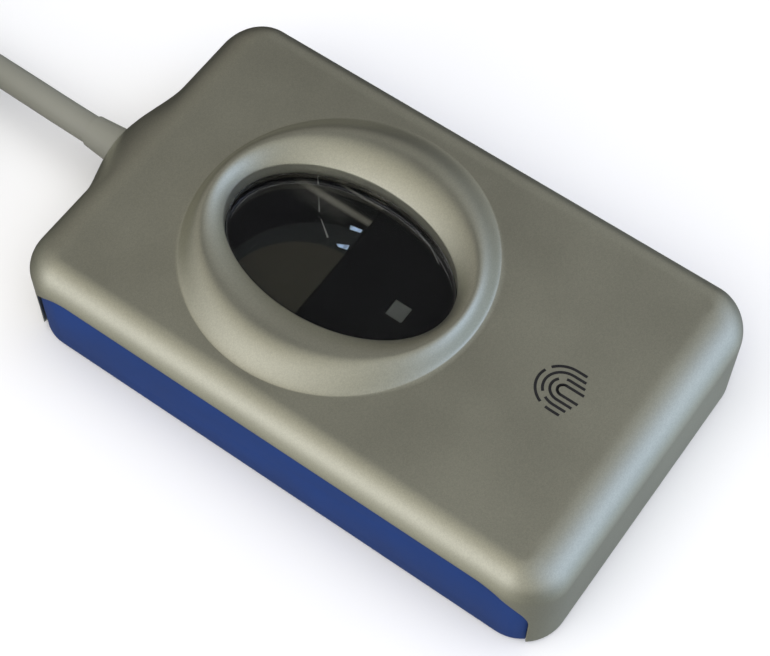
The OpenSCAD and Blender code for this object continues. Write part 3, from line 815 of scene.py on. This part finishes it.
# painted glints: two bluish-white spots of light in the prism, as bright plates
GLINT_SPOTS = [
    [(5.1, 8.75), (5.4, 7.1), (4.9, 7.1), (4.55, 8.5)],
    [(1.9, 8.6), (2.65, 7.15), (1.95, 7.0), (1.65, 8.15)],
]
# plates of painted highlight and painted glint laid just above the black coat
for label, shapes, finish in (
        ("prism_painted_edge_highlights", EDGE_HIGHLIGHTS, moulded("painted_edge_highlight", (0.2, 0.2, 0.19), 0.4, 0.2, 0.004, 0.25, 0.8)),
        ("prism_painted_glints", GLINT_SPOTS, moulded("painted_glint", (0.4, 0.52, 0.72), 0.3, 0.2, 0.004, 0.3, 0.6))):
    plates = join(*[slab_of(corners, DECK + 0.003, 0.008) for corners in shapes])
    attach(solid(label, plates, finish), "root")


# ---- printed mark on the flat top: arcs of a fingertip's ridges ----


def ridges():
    """Nested arches of ink, each with a gap or two, as plates a hundredth of a millimetre thick."""
    parts = []
    for k, (radius, breaks) in enumerate((
            (0.7, ()), (1.5, ((0.2, 0.8),)), (2.3, ((2.2, 2.6),)), (3.1, ((0.9, 1.2), (2.7, 2.9))))):
        path = []
        for t in np.linspace(0, math.pi, 37):
            path.append((radius * math.cos(t), 1.12 * radius * math.sin(t), t))
        for leg in np.linspace(0.2, 2.4 - 0.35 * k, 8):
            path.insert(0, (radius, -leg, -1.0))
            path.append((-radius, -leg, -1.0))
        for (ax, ay, ta), (bx, by, _) in zip(path[:-1], path[1:]):
            if any(a <= ta <= b for a, b in breaks):
                continue
            parts.append(((ax, ay), (bx, by)))
    return parts


def ink_mark(centre, wide, z, thick):
    plates = []
    for (ax, ay), (bx, by) in ridges():
        dx, dy = bx - ax, by - ay
        size = math.hypot(dx, dy)
        nx, ny = -dy / size * wide / 2, dx / size * wide / 2
        ex, ey = dx / size * 0.02, dy / size * 0.02
        corners = [(ax - nx - ex, ay - ny - ey), (bx - nx + ex, by - ny + ey),
                   (bx + nx + ex, by + ny + ey), (ax + nx - ex, ay + ny - ey)]
        plates.append(slab_of([(centre[0] + x, centre[1] + y) for x, y in corners], z, thick))
    return join(*plates)


MARK_PLACE, MARK_LINE = (0.0, -26.0), 0.36
mark = solid("ridge_mark", ink_mark(MARK_PLACE, MARK_LINE, TOP + 0.002, 0.012),
             moulded("mark_ink", (0.012, 0.012, 0.013), 0.5, 0.2, 0.004, 0.2, 2.0))
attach(mark, "root")


# ---- CAD nodes that stay: materials ----

for part in frame["record"]["subparts"]:
    data = frame["nodes"][part["node"]].data
    data.materials.clear()
    data.materials.append(MATERIALS[part["material_slot"]])


# ---- softened copies of CAD nodes ----


def soften(name, width_mm, segments=3):
    """A copy of a CAD node with its faceted flats merged and its sharp edges rounded over."""
    source = frame["nodes"][name]
    piece = source.copy()
    piece.data = source.data.copy()
    piece.parent = None
    for key in list(piece.keys()):
        del piece[key]
    piece.name = name + "_skin"
    piece.data.name = name + "_skin"
    scene.collection.objects.link(piece)
    work = bmesh.new()
    work.from_mesh(piece.data)
    bmesh.ops.remove_doubles(work, verts=work.verts, dist=2e-6)
    bmesh.ops.dissolve_limit(work, angle_limit=math.radians(1.0), verts=work.verts,
                             edges=work.edges)
    work.to_mesh(piece.data)
    work.free()
    bevel = piece.modifiers.new("bevel", "BEVEL")
    bevel.width = width_mm * MM
    bevel.segments = segments
    bevel.limit_method = "ANGLE"
    bevel.angle_limit = math.radians(35)
    bevel.use_clamp_overlap = True
    bevel.harden_normals = True
    apply_modifiers(piece)
    piece.data.shade_smooth()
    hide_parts(name)
    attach(piece, "root")
    return piece


soften("base_tray", 0.5)
grip = soften("usb_grip", 0.9, 4)
plug_shell = soften("usb_shell", 0.2)
soften("foot_pad", 0.3)
tie = soften("cord_tie", 0.4)

# ---- stage and light ----

FLOOR_HALF, FLOOR_Z = 3, -0.0002
FILL_POWER, FILL_SIZE, FILL_AWAY = 29.0, 2.4, 1.6
GROUND, SKY = (0.1, 0.1, 0.095), (0.41, 0.4, 0.385)
GLOWS = [
    ((-0.88, 0.28, 0.39), (1.03, 1.03, 1.16), 7.5),
    ((0.39, -0.88, 0.28), (0.46, 0.67, 1.2), 6.5),
    ((-0.85, 0.2, -0.5), (0.42, 0.41, 0.37), 4.0),
    ((0.45, -0.8, -0.4), (0.46, 0.52, 0.58), 4.0),
    ((-0.45, 0.3, 0.84), (0.2, 0.17, 0.1), 10.0),
    ((-0.6, -0.7, 0.4), (0.07, 0.06, 0.03), 4.0),
    ((0.6, 0.78, 0.15), (-0.26, -0.26, -0.25), 3.5),
    ((0.39, 0.27, 0.88), (-0.36, -0.35, -0.33), 30.0),
]

floor_material, floor_shader = principled("floor", Roughness=0.9)
fg = Graph(floor_material)
fg.feed(floor_shader, Base_Color=fg.ramp(fg.noise(60.0, 2), (0.88, 0.88, 0.88), (0.9, 0.9, 0.9)))
floor_mesh = bpy.data.meshes.new("floor")
floor_mesh.from_pydata([(x * FLOOR_HALF, y * FLOOR_HALF, FLOOR_Z)
                        for x, y in ((-1, -1), (1, -1), (1, 1), (-1, 1))], [], [(0, 1, 2, 3)])
floor = link("floor", floor_mesh, floor_material)
# The floor stays out of mirror reflections, so that the far edges stay as dark as they are
# over a desk, and a wide fill lights it evenly without adding a highlight of its own.
floor.visible_glossy = False

fill_data = bpy.data.lights.new("fill", "AREA")
fill_data.shape = "RECTANGLE"
fill_data.size = fill_data.size_y = FILL_SIZE
fill_data.energy = FILL_POWER
fill = bpy.data.objects.new("fill", fill_data)
fill_from = Vector((-0.15, -0.1, 1.0)).normalized()
fill.location = fill_from * FILL_AWAY
fill.rotation_euler = fill_from.to_track_quat("Z", "Y").to_euler()
fill.visible_glossy = False
scene.collection.objects.link(fill)


def studio(world, ground, sky, glows):
    """A dim room with a dark lower half and soft glows: (direction, colour, tightness).

    A negative colour makes a soft dark patch, such as the onlooker's."""
    world.use_nodes = True
    tree = world.node_tree

    def add(kind, operation, *values):
        made = tree.nodes.new(kind)
        made.operation = operation
        for socket, value in zip(made.inputs, values):
            if isinstance(value, bpy.types.NodeSocket):
                tree.links.new(value, socket)
            else:
                socket.default_value = value
        return made

    where = tree.nodes.new("ShaderNodeTexCoord").outputs["Generated"]
    up = tree.nodes.new("ShaderNodeSeparateXYZ")
    tree.links.new(where, up.inputs[0])
    rise = tree.nodes.new("ShaderNodeMapRange")
    rise.interpolation_type = "SMOOTHSTEP"
    rise.inputs["From Min"].default_value = -0.12
    rise.inputs["From Max"].default_value = 0.16
    tree.links.new(up.outputs["Z"], rise.inputs["Value"])
    total = add("ShaderNodeVectorMath", "MULTIPLY_ADD", (0, 0, 0),
                tuple(a - b for a, b in zip(sky, ground)), ground)
    tree.links.new(rise.outputs["Result"], total.inputs[0])
    for direction, colour, tight in glows:
        d = Vector(direction).normalized()
        near = add("ShaderNodeVectorMath", "DOT_PRODUCT", where, tuple(d)).outputs["Value"]
        power = add("ShaderNodeMath", "MULTIPLY_ADD", near, tight, -tight).outputs[0]
        glow = add("ShaderNodeMath", "EXPONENT", power).outputs[0]
        part = add("ShaderNodeVectorMath", "MULTIPLY", (0, 0, 0), colour)
        tree.links.new(glow, part.inputs[0])
        total = add("ShaderNodeVectorMath", "ADD", total.outputs[0], part.outputs[0])
    total = add("ShaderNodeVectorMath", "MAXIMUM", total.outputs[0], (0.02, 0.02, 0.02))
    tree.links.new(total.outputs[0], tree.nodes["Background"].inputs["Color"])


world = bpy.data.worlds.new("world")
scene.world = world
studio(world, GROUND, SKY, GLOWS)
scene.view_settings.view_transform = "Standard"
